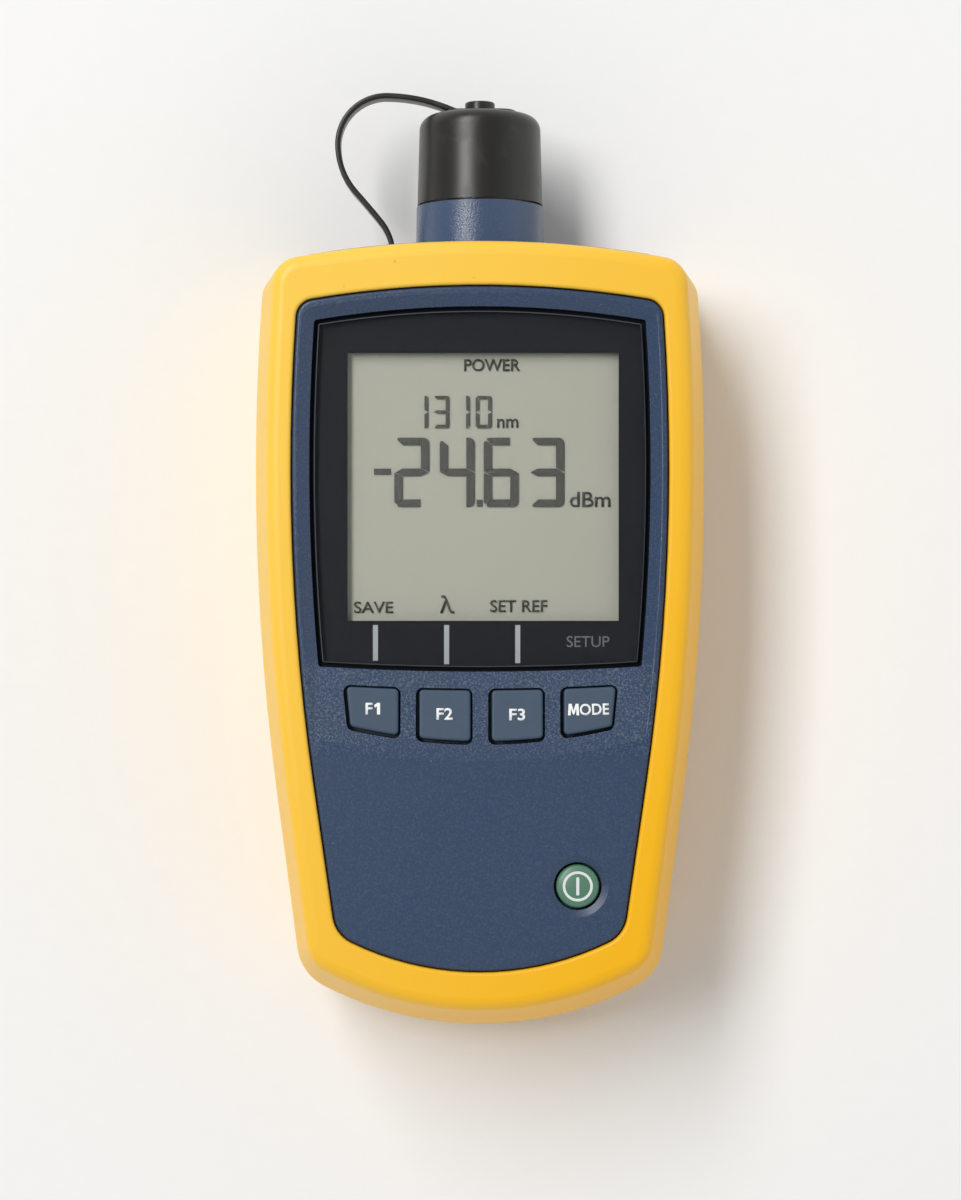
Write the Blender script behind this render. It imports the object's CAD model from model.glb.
import math

import bpy
from mathutils import Matrix, Vector


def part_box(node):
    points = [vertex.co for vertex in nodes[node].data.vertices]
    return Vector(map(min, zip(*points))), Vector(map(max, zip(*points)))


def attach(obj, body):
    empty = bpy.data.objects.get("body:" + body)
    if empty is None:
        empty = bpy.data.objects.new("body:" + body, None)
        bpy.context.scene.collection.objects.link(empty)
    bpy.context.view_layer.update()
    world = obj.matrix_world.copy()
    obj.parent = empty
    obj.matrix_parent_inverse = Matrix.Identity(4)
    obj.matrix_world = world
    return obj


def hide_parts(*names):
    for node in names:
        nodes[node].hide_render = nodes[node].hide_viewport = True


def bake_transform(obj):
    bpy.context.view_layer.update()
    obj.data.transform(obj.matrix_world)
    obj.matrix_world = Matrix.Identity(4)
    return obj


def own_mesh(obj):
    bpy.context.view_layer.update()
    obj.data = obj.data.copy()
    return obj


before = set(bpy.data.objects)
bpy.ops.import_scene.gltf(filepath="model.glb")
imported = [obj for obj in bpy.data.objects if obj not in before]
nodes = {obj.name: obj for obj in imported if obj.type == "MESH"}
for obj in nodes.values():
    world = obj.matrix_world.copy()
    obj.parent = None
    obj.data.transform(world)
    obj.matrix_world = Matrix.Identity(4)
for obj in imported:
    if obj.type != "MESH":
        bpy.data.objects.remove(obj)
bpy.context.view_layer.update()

# Camera. It looks straight down on the meter from half a metre, with the fibre port at the top of
# the picture.
camera_place = (0.0001, 0.00695, 0.520)
camera_lens = 82.9
camera_data = bpy.data.cameras.new("bench_camera")
camera_data.lens = camera_lens
camera = bpy.data.objects.new("bench_camera", camera_data)
camera.location = camera_place
bpy.context.scene.collection.objects.link(camera)
bpy.context.scene.camera = camera
bpy.context.scene.view_settings.view_transform = "Standard"


# Bench. A wide matt white sheet under the meter. Its finish is the first, so the two classes that
# make finishes stand here: Field is a value or colour over a surface, and sums on it add nodes.
class Field:
    def __init__(self, finish, socket):
        self.finish = finish
        self.socket = socket

    def sum(self, operation, first, second):
        return self.finish.make("Math", {"operation": operation}, {0: first, 1: second})

    def __add__(self, other):
        return self.sum("ADD", self, other)

    def __sub__(self, other):
        return self.sum("SUBTRACT", self, other)

    def __rsub__(self, other):
        return self.sum("SUBTRACT", other, self)

    def __mul__(self, other):
        return self.sum("MULTIPLY", self, other)

    def __gt__(self, other):
        return self.sum("GREATER_THAN", self, other)

    def __lt__(self, other):
        return self.sum("LESS_THAN", self, other)

    __radd__ = __add__
    __rmul__ = __mul__


class Finish:
    def __init__(self, name):
        self.material = bpy.data.materials.new(name)
        self.material.use_nodes = True
        self.tree = self.material.node_tree
        self.tree.nodes.clear()
        self.place = self.make("TexCoord", out="Object")

    def make(self, kind, settings=(), sockets=(), out=0):
        """Adds one node, sets it up, fills its sockets and returns one of its outputs."""
        node = self.tree.nodes.new("ShaderNode" + kind)
        for name, value in dict(settings).items():
            setattr(node, name, value)
        for key, value in dict(sockets).items():
            if isinstance(value, Field):
                self.tree.links.new(value.socket, node.inputs[key])
            else:
                node.inputs[key].default_value = value
        return Field(self, node.outputs[out])

    def axis(self, letter):
        return self.make("SeparateXYZ", (), {0: self.place}, out=letter)

    def noise(self, size, detail=2.0, rough=0.5):
        """Cloudy pattern from 0 to 1, with patches of about that size in metres."""
        sockets = {"Vector": self.place, "Scale": 1 / size, "Detail": detail, "Roughness": rough}
        return self.make("TexNoise", (), sockets)

    def rise(self, value, low, high):
        """0 below low, 1 above high, and even in between."""
        return self.make("MapRange", {"clamp": True}, {0: value, 1: low, 2: high})

    def mix(self, share, first, second):
        """Colour that goes from the first to the second with share."""
        pair = [c if isinstance(c, Field) else (*c, 1) for c in (first, second)]
        return self.make("Mix", {"data_type": "RGBA"}, {0: share, 6: pair[0], 7: pair[1]}, out=2)

    def bump(self, height, depth, under=None):
        """Relief whose full depth is given in metres, on top of another relief if there is one."""
        sockets = {"Height": height, "Distance": depth}
        if under:
            sockets["Normal"] = under
        return self.make("Bump", (), sockets)

    def shader(self, kind="BsdfPrincipled", **sockets):
        """A shader node. Its sockets' names are written with _ for each space."""
        named = {key.replace("_", " "): value for key, value in sockets.items()}
        for key, value in named.items():
            if key.endswith("Color") and not isinstance(value, Field):
                named[key] = (*value, 1)
        return self.make(kind, (), named)

    def done(self, shader):
        output = self.tree.nodes.new("ShaderNodeOutputMaterial")
        self.tree.links.new(shader.socket, output.inputs["Surface"])
        return self.material


bench_size = 3.0
bench_drop = 0.0001


def bench_paper():
    f = Finish("bench_paper")
    fibre = f.noise(0.004, 4.0)
    colour = f.mix(fibre, (0.89, 0.888, 0.882), (0.91, 0.908, 0.902))
    return f.done(f.shader(Base_Color=colour, Roughness=0.9, Specular_IOR_Level=0.2,
                           Normal=f.bump(fibre, 0.00002)))


bpy.ops.object.select_all(action="DESELECT")
bpy.ops.mesh.primitive_plane_add(size=bench_size, location=(0, 0, -bench_drop))
bench = bpy.context.object
bench.name = "bench"
bpy.ops.object.mode_set(mode="EDIT")
bpy.ops.mesh.subdivide(number_cuts=3)
bpy.ops.object.mode_set(mode="OBJECT")
bench.data.materials.append(bench_paper())


# Light. One long soft lamp overhead on the left, which runs up the bench, in a room whose walls are
# pale on the other side and at the foot, and whose ceiling is dimmer.
sky_dim, sky_pale = 0.24, 0.93
sky_tint = (0.985, 0.995, 1.0)
sky_side = (0.35, -0.25, -0.90)   # towards the pale walls
sky_from, sky_to = -0.95, 0.20    # cosines of the angle from there
lamp_tint = (1.0, 0.995, 0.98)
lamp_place = (-1.18, 1.65, 2.3)
lamp_width, lamp_length = 0.8, 2.9
lamp_power = 82.0
lamp_data = bpy.data.lights.new("long_lamp", "AREA")
lamp_data.shape = "RECTANGLE"
lamp_data.size = lamp_width
lamp_data.size_y = lamp_length
lamp_data.energy = lamp_power
lamp_data.color = lamp_tint
lamp = bpy.data.objects.new("long_lamp", lamp_data)
lamp.location = lamp_place
lamp_lean = math.atan2(lamp_place[0], lamp_place[2])   # towards the bench
lamp.rotation_euler = (0, lamp_lean, 0)
bpy.context.scene.collection.objects.link(lamp)
sky = bpy.data.worlds.new("pale_room")
sky.use_nodes = True
bpy.context.scene.world = sky
sky_nodes = sky.node_tree.nodes
sky_links = sky.node_tree.links
sky_nodes.clear()
direction = sky_nodes.new("ShaderNodeTexCoord")
nearness = sky_nodes.new("ShaderNodeVectorMath")
nearness.operation = "DOT_PRODUCT"
nearness.inputs[1].default_value = Vector(sky_side).normalized()
sky_links.new(direction.outputs["Generated"], nearness.inputs[0])
share = sky_nodes.new("ShaderNodeMapRange")
share.interpolation_type = "SMOOTHSTEP"
share.inputs["From Min"].default_value = sky_from
share.inputs["From Max"].default_value = sky_to
sky_links.new(nearness.outputs["Value"], share.inputs["Value"])
walls = sky_nodes.new("ShaderNodeMix")
walls.data_type = "RGBA"   # whose two colours are sockets 6 and 7
walls.inputs[6].default_value = [sky_dim * c for c in sky_tint] + [1]
walls.inputs[7].default_value = [sky_pale * c for c in sky_tint] + [1]
sky_links.new(share.outputs[0], walls.inputs[0])
room = sky_nodes.new("ShaderNodeBackground")
room.inputs["Strength"].default_value = 1.0
sky_links.new(walls.outputs[2], room.inputs["Color"])
room_output = sky_nodes.new("ShaderNodeOutputWorld")
sky_links.new(room.outputs[0], room_output.inputs["Surface"])


# Holster. One thick moulding of yellow elastomer, pulled over the case: satin, faded towards one
# corner, with a few specks of dirt and long shallow waves.
def dress(names, material):
    """Gives CAD nodes their finish."""
    for name in names:
        for holder in nodes[name].material_slots:
            holder.material = material


def holster_rubber():
    f = Finish("holster_rubber")
    cloud = f.noise(0.022, 3.0)
    satin = f.noise(0.0005, 2.0)
    faded = f.rise(f.axis("Y") * 0.45 - f.axis("X") * 0.9 + cloud * 0.008, -0.041, 0.049)
    colour = f.mix(faded, (0.920, 0.468, 0.001), (0.940, 0.585, 0.066))
    speck = f.rise(f.noise(0.0011, 0.0), 0.90, 0.92)
    colour = f.mix(speck * 0.35, colour, (0.50, 0.26, 0.03))
    waves = f.bump(f.noise(0.009, 2.0), 0.00003)
    return f.done(f.shader(Base_Color=colour, Roughness=0.36 + 0.10 * satin, Specular_IOR_Level=0.4,
                           Normal=f.bump(satin, 0.000006, waves)))


dress(["holster"], holster_rubber())


# Case. Two shells and the battery door, moulded in dark blue plastic with a fine grain. The grain
# sparkles round the keys, is worn smooth on the palm below them, and is paler on the port's neck.
def case_plastic():
    f = Finish("case_plastic")
    grain = f.noise(0.00034, 3.0, 0.6)
    cloud = f.noise(0.03, 2.0)
    face = f.rise(f.axis("Z"), 0.0358, 0.0360)
    below_window = f.rise(f.axis("Y"), -0.0030, -0.0050)
    below_keys = f.rise(f.axis("Y"), -0.0170, -0.0215)
    palm = face * below_keys
    deck = face * below_window * (1.0 - below_keys)
    neck = f.rise(f.axis("Y"), 0.0690, 0.0700)
    relief = f.bump(grain * (1.0 - 0.72 * palm), 0.00007)
    colour = f.mix(cloud, (0.022, 0.047, 0.105), (0.028, 0.054, 0.115))
    colour = f.mix(neck, colour, (0.054, 0.088, 0.163))
    sparkle = f.rise(grain, 0.48, 0.66) * (deck * 0.58 + 0.20)
    colour = f.mix(sparkle, colour, (0.12, 0.16, 0.21))
    dust = f.rise(f.noise(0.0009, 0.0), 0.88, 0.90)
    colour = f.mix(dust * 0.3, colour, (0.30, 0.33, 0.38))
    gloss = 0.22 + 0.08 * grain + 0.14 * palm - 0.08 * neck
    return f.done(f.shader(Base_Color=colour, Roughness=gloss, Specular_IOR_Level=0.5, Normal=relief))


dress(["front_case", "rear_case", "battery_door"], case_plastic())


# Window. A clear moulded lens over a black printed frame. The lens is a copy of the solid with its
# lower face lifted clear of the print, so that the two never share a plane.
print_gap = 0.00004
merge_reach = 0.000002
top_facing = 0.95   # share of a face's normal that points up


def clear_lens():
    f = Finish("clear_lens")
    haze = f.noise(0.006, 2.0)
    clear = f.shader(Base_Color=(0.97, 0.98, 0.98), Roughness=0.02 + 0.02 * haze, IOR=1.3,
                     Transmission_Weight=1.0)
    open_air = f.shader("BsdfTransparent", Color=(0.93, 0.94, 0.94))
    from_below = f.make("LightPath", out="Is Shadow Ray") + f.make("LightPath", out="Is Diffuse Ray")
    return f.done(f.make("MixShader", (), {0: from_below, 1: clear, 2: open_air}))


def lens_edge():
    f = Finish("lens_edge")
    tone = f.noise(0.001, 2.0)
    colour = f.mix(tone, (0.070, 0.078, 0.088), (0.085, 0.094, 0.105))
    return f.done(f.shader(Base_Color=colour, Roughness=0.25 + 0.1 * tone))


def black_print():
    f = Finish("black_print")
    mottle = f.noise(0.002, 2.0)
    colour = f.mix(mottle, (0.0055, 0.0065, 0.0095), (0.0075, 0.0085, 0.0120))
    return f.done(f.shader(Base_Color=colour, Roughness=0.45 + 0.1 * mottle, Specular_IOR_Level=0.1))


def alone(piece):
    """Makes a piece the only selected one, and the active one."""
    bpy.ops.object.select_all(action="DESELECT")
    piece.select_set(True)
    bpy.context.view_layer.objects.active = piece


def finish_with(piece, *materials):
    piece.data.materials.clear()
    for material in materials:
        piece.data.materials.append(material)


def copy_of(name, piece_name):
    """A merged copy of a CAD node, as a piece of its own."""
    piece = nodes[name].copy()
    piece.data = nodes[name].data.copy()
    piece.parent = None
    for key in list(piece.keys()):
        del piece[key]
    piece.name = piece_name
    bpy.context.scene.collection.objects.link(piece)
    alone(piece)
    bpy.ops.mesh.customdata_custom_splitnormals_clear()
    bpy.ops.object.mode_set(mode="EDIT")
    bpy.ops.mesh.select_all(action="SELECT")
    bpy.ops.mesh.remove_doubles(threshold=merge_reach)
    bpy.ops.object.mode_set(mode="OBJECT")
    return piece


lens = copy_of("display_window", "window_lens")
lens_low, lens_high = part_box("display_window")
for vertex in lens.data.vertices:
    if vertex.co.z < lens_low.z + print_gap:
        vertex.co.z += print_gap
bpy.ops.object.shade_smooth_by_angle(angle=math.radians(30))
finish_with(lens, clear_lens(), lens_edge())
for face in lens.data.polygons:
    face.material_index = int(abs(face.normal.z) < top_facing)
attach(lens, "case")
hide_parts("display_window")
dress(["display_mask"], black_print())


# Display. A reflective liquid-crystal panel of pale grey-green glass. Its dark segments and words
# are drawn as thin raised print on the glass.
def panel_glass():
    f = Finish("panel_glass")
    mottle = f.noise(0.012, 2.0)
    fine = f.noise(0.0002, 1.0)
    colour = f.mix(mottle, (0.435, 0.427, 0.352), (0.455, 0.447, 0.372))
    return f.done(f.shader(Base_Color=colour, Roughness=0.4 + 0.1 * fine))


def segment_ink():
    f = Finish("segment_ink")
    mottle = f.noise(0.003, 2.0)
    colour = f.mix(mottle, (0.046, 0.044, 0.038), (0.054, 0.052, 0.045))
    return f.done(f.shader(Base_Color=colour, Roughness=0.5))


def plate(corners, round_at=(), radius=0.0):
    """A flat face with those corners, and some of them rounded off."""
    bpy.ops.object.select_all(action="DESELECT")
    bpy.ops.mesh.primitive_circle_add(vertices=len(corners), fill_type="NGON", location=(0, 0, 0))
    face = bpy.context.object
    for vertex, corner in zip(face.data.vertices, corners):
        vertex.co = (*corner, 0)
    for part in (face.data.polygons, face.data.edges, face.data.vertices):
        part.foreach_set("select", [False] * len(part))
    for index in round_at:
        face.data.vertices[index].select = True
    bpy.ops.object.mode_set(mode="EDIT")
    bpy.ops.mesh.select_mode(type="VERT")
    if round_at:
        bpy.ops.mesh.bevel(offset=radius, segments=5, affect="VERTICES")
    bpy.ops.mesh.select_all(action="SELECT")
    bpy.ops.mesh.normals_make_consistent(inside=False)
    bpy.ops.object.mode_set(mode="OBJECT")
    if face.data.polygons[0].normal.z < 0:
        face.data.flip_normals()
    return face


def word(text, centre, width, height, heavy=0.0, turn=0.0):
    """A flat word, fitted into a box round centre and turned by some degrees."""
    bpy.ops.object.select_all(action="DESELECT")
    bpy.ops.object.text_add(location=(0, 0, 0))
    letters = bpy.context.object
    letters.data.body = text
    letters.data.offset = heavy
    bpy.ops.object.convert(target="MESH")
    points = [vertex.co for vertex in letters.data.vertices]
    low = Vector((min(p.x for p in points), min(p.y for p in points), 0))
    high = Vector((max(p.x for p in points), max(p.y for p in points), 0))
    grow = Matrix.Diagonal((width / (high.x - low.x), height / (high.y - low.y), 1, 1))
    spin = Matrix.Rotation(math.radians(turn), 4, "Z")
    letters.data.transform(Matrix.Translation((*centre, 0)) @ spin @ grow
                           @ Matrix.Translation(-(low + high) / 2))
    return letters


def joined(parts, name):
    bpy.ops.object.select_all(action="DESELECT")
    for part in parts:
        part.select_set(True)
    bpy.context.view_layer.objects.active = parts[0]
    if len(parts) > 1:
        bpy.ops.object.join()
    whole = bpy.context.object
    whole.name = name
    return whole


def use(piece, kind, **values):
    """Adds a modifier to a piece and applies it."""
    alone(piece)
    tool = piece.modifiers.new(kind.lower(), kind)
    for key, value in values.items():
        setattr(tool, key, value)
    bpy.ops.object.modifier_apply(modifier=tool.name)


ink_depth = 0.00012
cell_width, cell_height = 0.00617, 0.0122
stem, bar, gap = 0.00149, 0.00134, 0.00009
segment_round = stem * 0.7
middle = cell_height / 2
right = cell_width - stem
SEGMENTS = {   # corners of each, and which of them are rounded
    "a": (((0, cell_height), (right - gap, cell_height), (right - gap, cell_height - bar),
           (stem + gap, cell_height - bar)), (0,)),
    "b": (((right, cell_height), (cell_width, cell_height), (cell_width, middle + gap),
           (right, middle + bar / 2 + gap)), (1,)),
    "c": (((right, middle - bar / 2 - gap), (cell_width, middle - gap), (cell_width, 0),
           (right, 0)), (2,)),
    "d": (((stem + gap, bar), (right - gap, bar), (right - gap, 0), (0, 0)), (3,)),
    "e": (((0, middle - gap), (stem, middle - bar / 2 - gap), (stem, bar + gap),
           (0, gap)), (3,)),
    "f": (((0, cell_height - gap), (stem, cell_height - bar - gap), (stem, middle + bar / 2 + gap),
           (0, middle + gap)), (0,)),
    "g": (((gap * 2, middle), (stem, middle + bar / 2), (right, middle + bar / 2),
           (cell_width - gap * 2, middle), (right, middle - bar / 2), (stem, middle - bar / 2)), ()),
}
DIGITS = {"0": "abcdef", "1": "bc", "2": "abged", "3": "abgcd", "4": "fgbc", "6": "afgedc"}
segments = {letter: plate(corners, rounded, segment_round)
            for letter, (corners, rounded) in SEGMENTS.items()}
panel_low, panel_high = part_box("lcd_glass")
panel_x = (panel_low.x + panel_high.x) / 2
panel_y = (panel_low.y + panel_high.y) / 2


def digit(sign, x, y, scale):
    """Copies of the lit segments of one digit, with its lower left corner at (x, y)."""
    lit = []
    for letter in DIGITS[sign]:
        part = segments[letter].copy()
        part.data = segments[letter].data.copy()
        part.data.transform(Matrix.Translation((x, y, 0)) @ Matrix.Scale(scale, 4))
        bpy.context.scene.collection.objects.link(part)
        lit.append(part)
    return lit


NUMBERS = (   # digits, left edge of each, their foot, their scale
    ("2463", (-0.01547, -0.00748, 0.00026, 0.00831), -0.00368, 1.0),
    ("1310", (-0.01235, -0.00863, -0.00503, -0.00117), 0.01018, 0.4675),
)
STROKES = (   # the minus sign and the decimal point, as left, right, foot and top
    (-0.01906, -0.01606, 0.00202, 0.00308),
    (-0.00100, 0.00006, -0.00361, -0.00239),
)
WORDS = (   # word, centre, width, height, how much heavier than plain
    ("POWER", (0.00175, 0.02129), 0.00987, 0.00212, 0.014),
    ("nm", (0.00448, 0.01106), 0.00370, 0.00159, 0.009),
    ("dBm", (0.01898, -0.00233), 0.00714, 0.00264, 0.009),
    ("SAVE", (-0.01912, -0.02133), 0.00687, 0.00203, 0.009),
    ("λ", (-0.00617, -0.02079), 0.00256, 0.00317, 0.009),
    ("SET REF", (0.00643, -0.02111), 0.01005, 0.00212, 0.009),
)
ink = []
for number, lefts, foot, scale in NUMBERS:
    for sign, x in zip(number, lefts):
        ink += digit(sign, x, foot, scale)
for left, end, foot, top in STROKES:
    ink.append(plate(((left, foot), (end, foot), (end, top), (left, top))))
ink += [word(*item) for item in WORDS]
readout = joined(ink, "readout")
for part in segments.values():
    bpy.data.objects.remove(part)
use(readout, "SOLIDIFY", thickness=ink_depth, offset=1.0)
readout_shift_x, readout_shift_y = -0.00015, 0.0002   # from the middle of the glass
readout.data.transform(Matrix.Translation((panel_x + readout_shift_x, panel_y + readout_shift_y,
                                           panel_high.z + ink_depth)))
finish_with(readout, segment_ink())
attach(readout, "case")
dress(["lcd_glass"], panel_glass())


# Marks on the window's border. Three pale ticks that lead from the display to the keys, and one
# small grey word, printed on the black frame under the lens.
def pale_print(name, colour):
    f = Finish(name)
    mottle = f.noise(0.0008, 2.0)
    worn = f.mix(mottle, [c * 0.94 for c in colour], colour)
    return f.done(f.shader(Base_Color=worn, Roughness=0.55 + 0.1 * mottle))


TICKS = ((-0.01833, -0.00369), (-0.00585, -0.00431), (0.00663, -0.00413))   # middle and foot
tick_half = 0.00044
tick_high = 0.00256
print_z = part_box("display_mask")[1].z + print_gap / 4
ticks = []
for x, low in TICKS:
    ticks.append(plate(((x - tick_half, low), (x + tick_half, low), (x + tick_half, tick_high),
                        (x - tick_half, tick_high))))
tick_marks = joined(ticks, "tick_marks")
setup_word = word("SETUP", (0.01897, -0.00034), 0.00747, 0.00193)
setup_word.name = "setup_word"
for piece, colour in ((tick_marks, (0.42, 0.44, 0.47)), (setup_word, (0.13, 0.14, 0.16))):
    use(piece, "SOLIDIFY", thickness=print_gap / 2, offset=1.0)
    piece.data.transform(Matrix.Translation((0, 0, print_z)))
    finish_with(piece, pale_print(piece.name + "_print", colour))
    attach(piece, "case")


# Works under the display. A white diffuser, a black holder, two rubber contact strips, and the
# green board with its chips. All but the board are plain mouldings.
def plain_moulding(name, dark, pale, patch, rough, relief):
    """Even material whose tone, gloss and relief change a little from place to place."""
    f = Finish(name)
    tone = f.noise(patch, 3.0)
    return f.done(f.shader(Base_Color=f.mix(tone, dark, pale), Roughness=rough + 0.1 * tone,
                           Normal=f.bump(f.noise(patch / 4, 2.0), relief)))


def board_laminate():
    f = Finish("board_laminate")
    weave = f.noise(0.0012, 2.0)
    tracks = f.noise(0.003, 0.0) * f.noise(0.0035, 0.0)
    green = f.mix(weave, (0.012, 0.10, 0.04), (0.018, 0.14, 0.055))
    colour = f.mix(f.rise(tracks, 0.30, 0.32) * 0.5, green, (0.03, 0.22, 0.09))
    return f.done(f.shader(Base_Color=colour, Roughness=0.3 + 0.1 * weave,
                           Normal=f.bump(weave, 0.00001)))


dress(["lcd_backlight"],
      plain_moulding("diffuser_white", (0.78, 0.78, 0.75), (0.84, 0.84, 0.82), 0.004, 0.5, 0.00001))
dress(["lcd_holder", "diode_ring", "board_chips"],
      plain_moulding("black_moulding", (0.018, 0.018, 0.019), (0.026, 0.026, 0.027), 0.003, 0.45, 0.00001))
dress(["contact_strips"],
      plain_moulding("strip_rubber", (0.40, 0.36, 0.36), (0.48, 0.44, 0.43), 0.001, 0.6, 0.00001))
dress(["main_board"], board_laminate())


# Keypad mat. One grey silicone sheet on the board, moulded with a dome under each key. A dome folds
# down as its key is pressed, so each is a piece of its own here.
KEYS = ("key_f1", "key_f2", "key_f3", "key_mode", "power_key")
just_above = 0.00001


def parted(piece, how):
    """Splits a piece, and returns what came off."""
    alone(piece)
    bpy.ops.object.mode_set(mode="EDIT")
    bpy.ops.mesh.separate(type=how)
    bpy.ops.object.mode_set(mode="OBJECT")
    return [other for other in bpy.context.selected_objects if other != piece]


def closed(piece):
    """Fills the holes of a piece that was cut off another."""
    alone(piece)
    bpy.ops.object.mode_set(mode="EDIT")
    bpy.ops.mesh.select_all(action="SELECT")
    bpy.ops.mesh.fill_holes(sides=0)
    bpy.ops.mesh.select_all(action="SELECT")
    bpy.ops.mesh.normals_make_consistent(inside=False)
    bpy.ops.object.mode_set(mode="OBJECT")


mat = copy_of("keypad_mat", "mat_sheet")
mat_levels = sorted({round(vertex.co.z, 5) for vertex in mat.data.vertices})
sheet_top, dome_top = mat_levels[1], mat_levels[-1]
bpy.ops.object.mode_set(mode="EDIT")
bpy.ops.mesh.select_mode(type="FACE")
bpy.ops.mesh.select_all(action="DESELECT")
bpy.ops.object.mode_set(mode="OBJECT")
for face in mat.data.polygons:
    face.select = face.center.z > sheet_top + just_above
first_dome = parted(mat, "SELECTED")[0]
domes = [first_dome] + parted(first_dome, "LOOSE")
mat_finish = plain_moulding("mat_rubber", (0.25, 0.25, 0.27), (0.32, 0.32, 0.34), 0.003, 0.6,
                            0.00002)
for piece in [mat] + domes:
    closed(piece)
    finish_with(piece, mat_finish)
    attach(piece, "case")
    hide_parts("keypad_mat")
for dome in domes:
    spots = [vertex.co for vertex in dome.data.vertices]
    x = sum(spot.x for spot in spots) / len(spots)
    y = sum(spot.y for spot in spots) / len(spots)
    for key in KEYS:
        key_low, key_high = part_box(key)
        if key_low.x < x < key_high.x and key_low.y < y < key_high.y:
            dome.name = "dome_" + key
            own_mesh(dome)


# Soft keys. Four blue-grey caps, each with its bold white word printed on the top and following its
# slope.
key_print_lift = 0.00001
key_print_depth = 0.00003
key_word_heavy = 0.022
print_start = 0.002   # above a key's top, from where its print drops onto it
white_ink = pale_print("key_white", (0.93, 0.94, 0.95))
dress(["key_f1", "key_f2", "key_f3", "key_mode"],
      plain_moulding("key_satin", (0.038, 0.069, 0.113), (0.046, 0.078, 0.126), 0.002, 0.45, 0.000012))
KEY_WORDS = {   # word, centre, width, height, turn in degrees
    "key_f1": ("F", (-0.01936, -0.01202), 0.00124, 0.00203, 0.0),
    "key_f2": ("F2", (-0.00617, -0.01294), 0.00285, 0.00205, 0.0),
    "key_f3": ("F3", (0.00652, -0.01306), 0.00280, 0.00206, 0.0),
    "key_mode": ("ODE", (0.01999, -0.01214), 0.00511, 0.00201, 1.5),
}
KEY_LETTERS = {   # foot's left corner, width, height, and a letter's corners in a box of 100 by 100
    "key_f1": ((-0.01848, -0.01304), 0.00108, 0.00203,
               ((46, 0), (96, 0), (96, 100), (52, 100), (0, 80), (14, 58), (46, 71))),
    "key_mode": ((0.01538, -0.01319), 0.00196, 0.00201,
                 ((0, 0), (6, 100), (32, 100), (50, 42), (68, 100), (94, 100), (100, 0), (76, 0),
                  (73, 62), (57, 8), (43, 8), (27, 62), (24, 0))),
}


def print_on(piece, node, body, ink_finish):
    """Lays flat print on a key's top and gives it the depth of ink."""
    piece.data.transform(Matrix.Translation((0, 0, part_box(node)[1].z + print_start)))
    use(piece, "SHRINKWRAP", wrap_method="PROJECT", use_project_z=True, use_negative_direction=True,
        use_positive_direction=False, target=nodes[node], offset=key_print_lift)
    use(piece, "SOLIDIFY", thickness=key_print_depth, offset=1.0)
    finish_with(piece, ink_finish)
    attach(piece, body)


for node, (text, centre, width, height, turn) in KEY_WORDS.items():
    strokes = [word(text, centre, width, height, key_word_heavy, turn)]
    if node in KEY_LETTERS:
        (x, y), width, height, corners = KEY_LETTERS[node]
        strokes.append(plate([(x + width * a / 100, y + height * b / 100) for a, b in corners]))
    label = joined(strokes, node + "_word")
    print_on(label, node, node + "_body", white_ink)


# Power key. A round green cap, moulded a little domed, with a white ring and bar.
power_low, power_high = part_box("power_key")
power_x = (power_low.x + power_high.x) / 2
power_y = (power_low.y + power_high.y) / 2
ring_outer, ring_width = 0.00263, 0.00046
bar_half, bar_reach = 0.00027, 0.00158
bar_round = bar_half * 0.6
power_dome_radius = 0.011
bpy.ops.object.select_all(action="DESELECT")
bpy.ops.mesh.primitive_circle_add(vertices=72, radius=ring_outer, fill_type="NGON", location=(0, 0, 0))
ring = bpy.context.object
bpy.ops.object.mode_set(mode="EDIT")
bpy.ops.mesh.select_all(action="SELECT")
bpy.ops.mesh.inset(thickness=ring_width)
bpy.ops.mesh.delete(type="FACE")
bpy.ops.object.mode_set(mode="OBJECT")
stroke = plate(((-bar_half, -bar_reach), (bar_half, -bar_reach), (bar_half, bar_reach),
                (-bar_half, bar_reach)), (0, 1, 2, 3), bar_round)
power_sign = joined([ring, stroke], "power_sign")
power_sign.data.transform(Matrix.Translation((power_x, power_y, 0)))
print_on(power_sign, "power_key", "power_key_body", pale_print("power_white", (0.74, 0.78, 0.76)))


def domed_green():
    f = Finish("key_green")
    across, along = f.axis("X") - power_x, f.axis("Y") - power_y
    mottle = f.noise(0.002, 2.0)
    colour = f.mix(mottle, (0.082, 0.200, 0.132), (0.098, 0.228, 0.152))
    dome = (across * across + along * along) * (-0.5 / power_dome_radius)
    return f.done(f.shader(Base_Color=colour, Roughness=0.34 + 0.05 * mottle, Normal=f.bump(dome, 1.0)))


dress(["power_key"], domed_green())


# Metal. Screws, battery contacts and the turned pieces of the port, each with its own tint and the
# fine texture that its making leaves. The port's ceramic sleeve and dark diode window follow.
def metal(name, colour, rough, line):
    f = Finish(name)
    lines = f.noise(line, 3.0)
    smear = f.noise(0.003, 2.0)
    worn = f.mix(smear, [c * 0.9 for c in colour], colour)
    return f.done(f.shader(Base_Color=worn, Metallic=1.0, Roughness=rough + 0.12 * smear,
                           Normal=f.bump(lines, 0.000004)))


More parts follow.
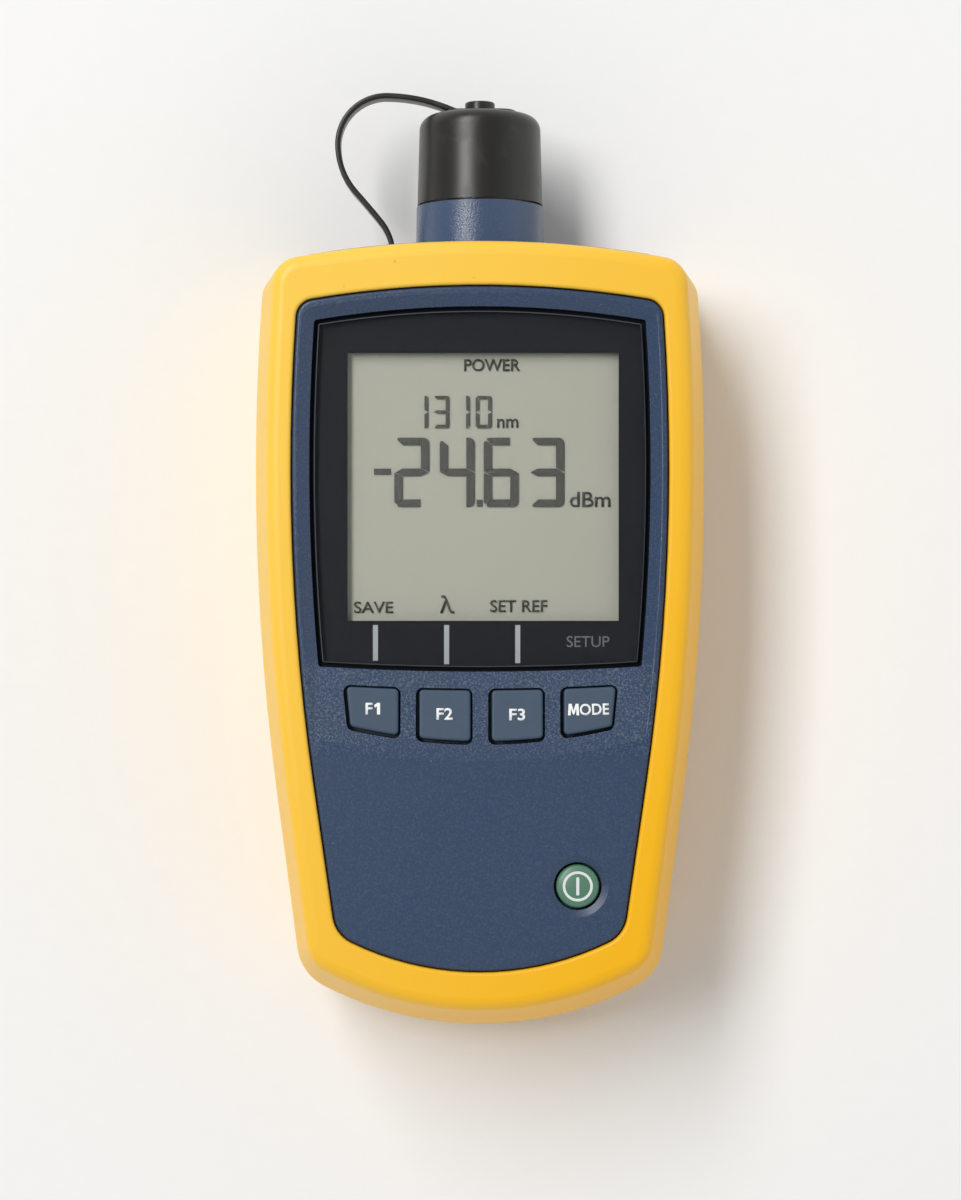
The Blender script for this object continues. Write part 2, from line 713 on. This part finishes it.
dress(["case_screws", "board_screws"], metal("screw_steel", (0.52, 0.52, 0.52), 0.30, 0.0003))
dress(["battery_link", "battery_contact_1", "battery_contact_2"],
      metal("nickel_sheet", (0.66, 0.64, 0.60), 0.22, 0.0006))
dress(["port_barrel", "adapter_nut"], metal("turned_aluminium", (0.60, 0.60, 0.61), 0.28, 0.0002))
dress(["fibre_adapter"], metal("nickel_brass", (0.60, 0.58, 0.53), 0.24, 0.0002))
dress(["photodiode"], metal("gold_can", (0.66, 0.55, 0.32), 0.25, 0.0004))
dress(["ferrule_sleeve"],
      plain_moulding("white_ceramic", (0.80, 0.80, 0.77), (0.86, 0.86, 0.84), 0.002, 0.15, 0.000002))
dress(["photodiode_window"],
      plain_moulding("diode_window", (0.03, 0.03, 0.05), (0.05, 0.05, 0.08), 0.002, 0.08, 0.000001))


# Cells. Two plain dry cells in a dark sleeve with a copper band at the positive end and bare metal
# at both tips.
band_end, tip_end, sleeve_end = 0.0125, 0.0018, 0.0498   # from the positive tip


def cell_sleeve(name, tip_y, toward):
    """Finish by the distance from the positive tip, which lies at tip_y and points toward 1 or -1."""
    f = Finish(name)
    along = f.make("MapRange", {"clamp": False}, {0: f.axis("Y"), 1: tip_y, 2: tip_y - toward, 4: 1.0})
    band = along < band_end
    tip = (along < tip_end) + (along > sleeve_end)
    scuff = f.noise(0.005, 3.0)
    sleeve = f.mix(scuff, (0.022, 0.022, 0.025), (0.030, 0.030, 0.034))
    colour = f.mix(tip, f.mix(band, sleeve, (0.42, 0.20, 0.08)), (0.62, 0.61, 0.58))
    return f.done(f.shader(Base_Color=colour, Metallic=tip, Roughness=0.25 + 0.15 * scuff))


for name, end in (("aa_cell_1", 1), ("aa_cell_2", -1)):
    cell_low, cell_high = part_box(name)
    dress([name], cell_sleeve(name + "_sleeve", cell_high.y if end > 0 else cell_low.y, end))


# Dust cap. One soft black moulding, pushed over the neck: satin, with faint marks of handling.
def cap_rubber():
    f = Finish("cap_rubber")
    cloud = f.noise(0.004, 3.0)
    satin = f.noise(0.0004, 2.0)
    rub = f.rise(f.noise(0.006, 4.0, 0.6), 0.52, 0.75)
    colour = f.mix(cloud, (0.011, 0.0105, 0.0095), (0.017, 0.016, 0.015))
    colour = f.mix(rub * 0.25, colour, (0.065, 0.062, 0.058))
    return f.done(f.shader(Base_Color=colour, Roughness=0.30 + 0.06 * satin + 0.10 * rub,
                           Normal=f.bump(satin, 0.000006)))


cap_finish = cap_rubber()
dress(["dust_cap"], cap_finish)


# Strap. One flat rubber moulding: a holed tab under the cap's stud, a strap that bows out and back,
# and a foot buttoned through the case's end. It stretches with the cap when the cap is pulled off.
strap_thickness, strap_width, strap_edge = 0.0010, 0.0042, 0.00035
strap_bends = ((0.0005, 0), (0.0022, -23.3), (0.0121, 22.4), (0.0139, 90.8), (0.0096, 41.8),
               (0.0068, -2.7), (0.0053, -30.5), (0.0004, -8.5), (0.0039, 0))   # run, degrees left
strap_start = -0.0024
strap_step = 0.0004
tab_half, tab_reach, tab_hole, tab_edge = 0.0030, 0.00655, 0.00175, 0.0003
stud_height = 0.00145    # from the stud's top down to the tab
button_half = (0.0014, 0.00075, 0.0030)
tether_low, tether_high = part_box("cap_tether")
axis_z = (tether_low.z + tether_high.z) / 2
eyelet_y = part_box("dust_cap")[1].y - stud_height - strap_thickness / 2
half_t, half_w = strap_thickness / 2, strap_width / 2
strap = plate(((-half_t, -half_w), (half_t, -half_w), (half_t, half_w), (-half_t, half_w)),
              (0, 1, 2, 3), strap_edge)
at = Vector((strap_start, eyelet_y, axis_z))
upright = Matrix(((0, 0, 1, 0), (1, 0, 0, 0), (0, 1, 0, 0), (0, 0, 0, 1)))   # x to y, y to z
strap.data.transform(Matrix.Translation(at) @ upright)
heading = math.pi
bpy.ops.object.mode_set(mode="EDIT")
bpy.ops.mesh.select_all(action="SELECT")
for run, turn in strap_bends:
    steps = math.ceil(run / strap_step)
    ahead = Vector((math.cos(heading), math.sin(heading), 0))
    if turn:
        radius = run / math.radians(turn)
        hub = at + Vector((-ahead.y, ahead.x, 0)) * radius
        bpy.ops.mesh.spin(steps=steps, angle=-math.radians(turn), center=hub, axis=(0, 0, 1))
        at = hub + Matrix.Rotation(math.radians(turn), 3, "Z") @ (at - hub)
        heading += math.radians(turn)
    else:
        for _ in range(steps):
            bpy.ops.mesh.extrude_region_move(TRANSFORM_OT_translate={"value": ahead * run / steps})
        at += ahead * run
bpy.ops.mesh.select_all(action="SELECT")
bpy.ops.mesh.normals_make_consistent(inside=False)
bpy.ops.object.mode_set(mode="OBJECT")


def holed_tab():
    """The strap's end: a tongue with round ends and a hole for the stud, lying on the floor."""
    bpy.ops.object.select_all(action="DESELECT")
    bpy.ops.mesh.primitive_circle_add(vertices=64, radius=tab_half, fill_type="NGON",
                                      location=(0, 0, 0))
    tab = bpy.context.object
    for vertex in tab.data.vertices:
        vertex.co.x += math.copysign(tab_reach - tab_half, vertex.co.x)
    bpy.ops.object.mode_set(mode="EDIT")
    bpy.ops.mesh.select_all(action="SELECT")
    bpy.ops.mesh.extrude_region_move(TRANSFORM_OT_translate={"value": (0, 0, strap_thickness)})
    bpy.ops.mesh.select_all(action="SELECT")
    bpy.ops.mesh.normals_make_consistent(inside=False)
    bpy.ops.object.mode_set(mode="OBJECT")
    bpy.ops.mesh.primitive_cylinder_add(vertices=64, radius=tab_hole, depth=4 * strap_thickness,
                                        location=(0, 0, 0))
    hole = bpy.context.object
    use(tab, "BOOLEAN", operation="DIFFERENCE", object=hole, solver="EXACT")
    bpy.data.objects.remove(hole)
    use(tab, "BEVEL", width=tab_edge, segments=3, limit_method="ANGLE")
    return tab


eyelet = holed_tab()
eyelet.data.transform(Matrix.Translation((0, eyelet_y + half_t, axis_z))
                      @ Matrix.Rotation(math.pi / 2, 4, "X"))
bpy.ops.object.select_all(action="DESELECT")
bpy.ops.mesh.primitive_cube_add(size=2, location=(0, 0, 0))
button = bpy.context.object
button.data.transform(Matrix.Translation((at.x, tether_low.y + button_half[1], axis_z))
                      @ Matrix.Diagonal((*button_half, 1)))
use(button, "BEVEL", width=strap_edge, segments=3)
for part in (eyelet, button):
    use(strap, "BOOLEAN", operation="UNION", object=part, solver="EXACT")
    bpy.data.objects.remove(part)
bpy.ops.object.shade_smooth_by_angle(angle=math.radians(40))
strap.name = "strap"
finish_with(strap, cap_finish)
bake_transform(strap)
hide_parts("cap_tether")
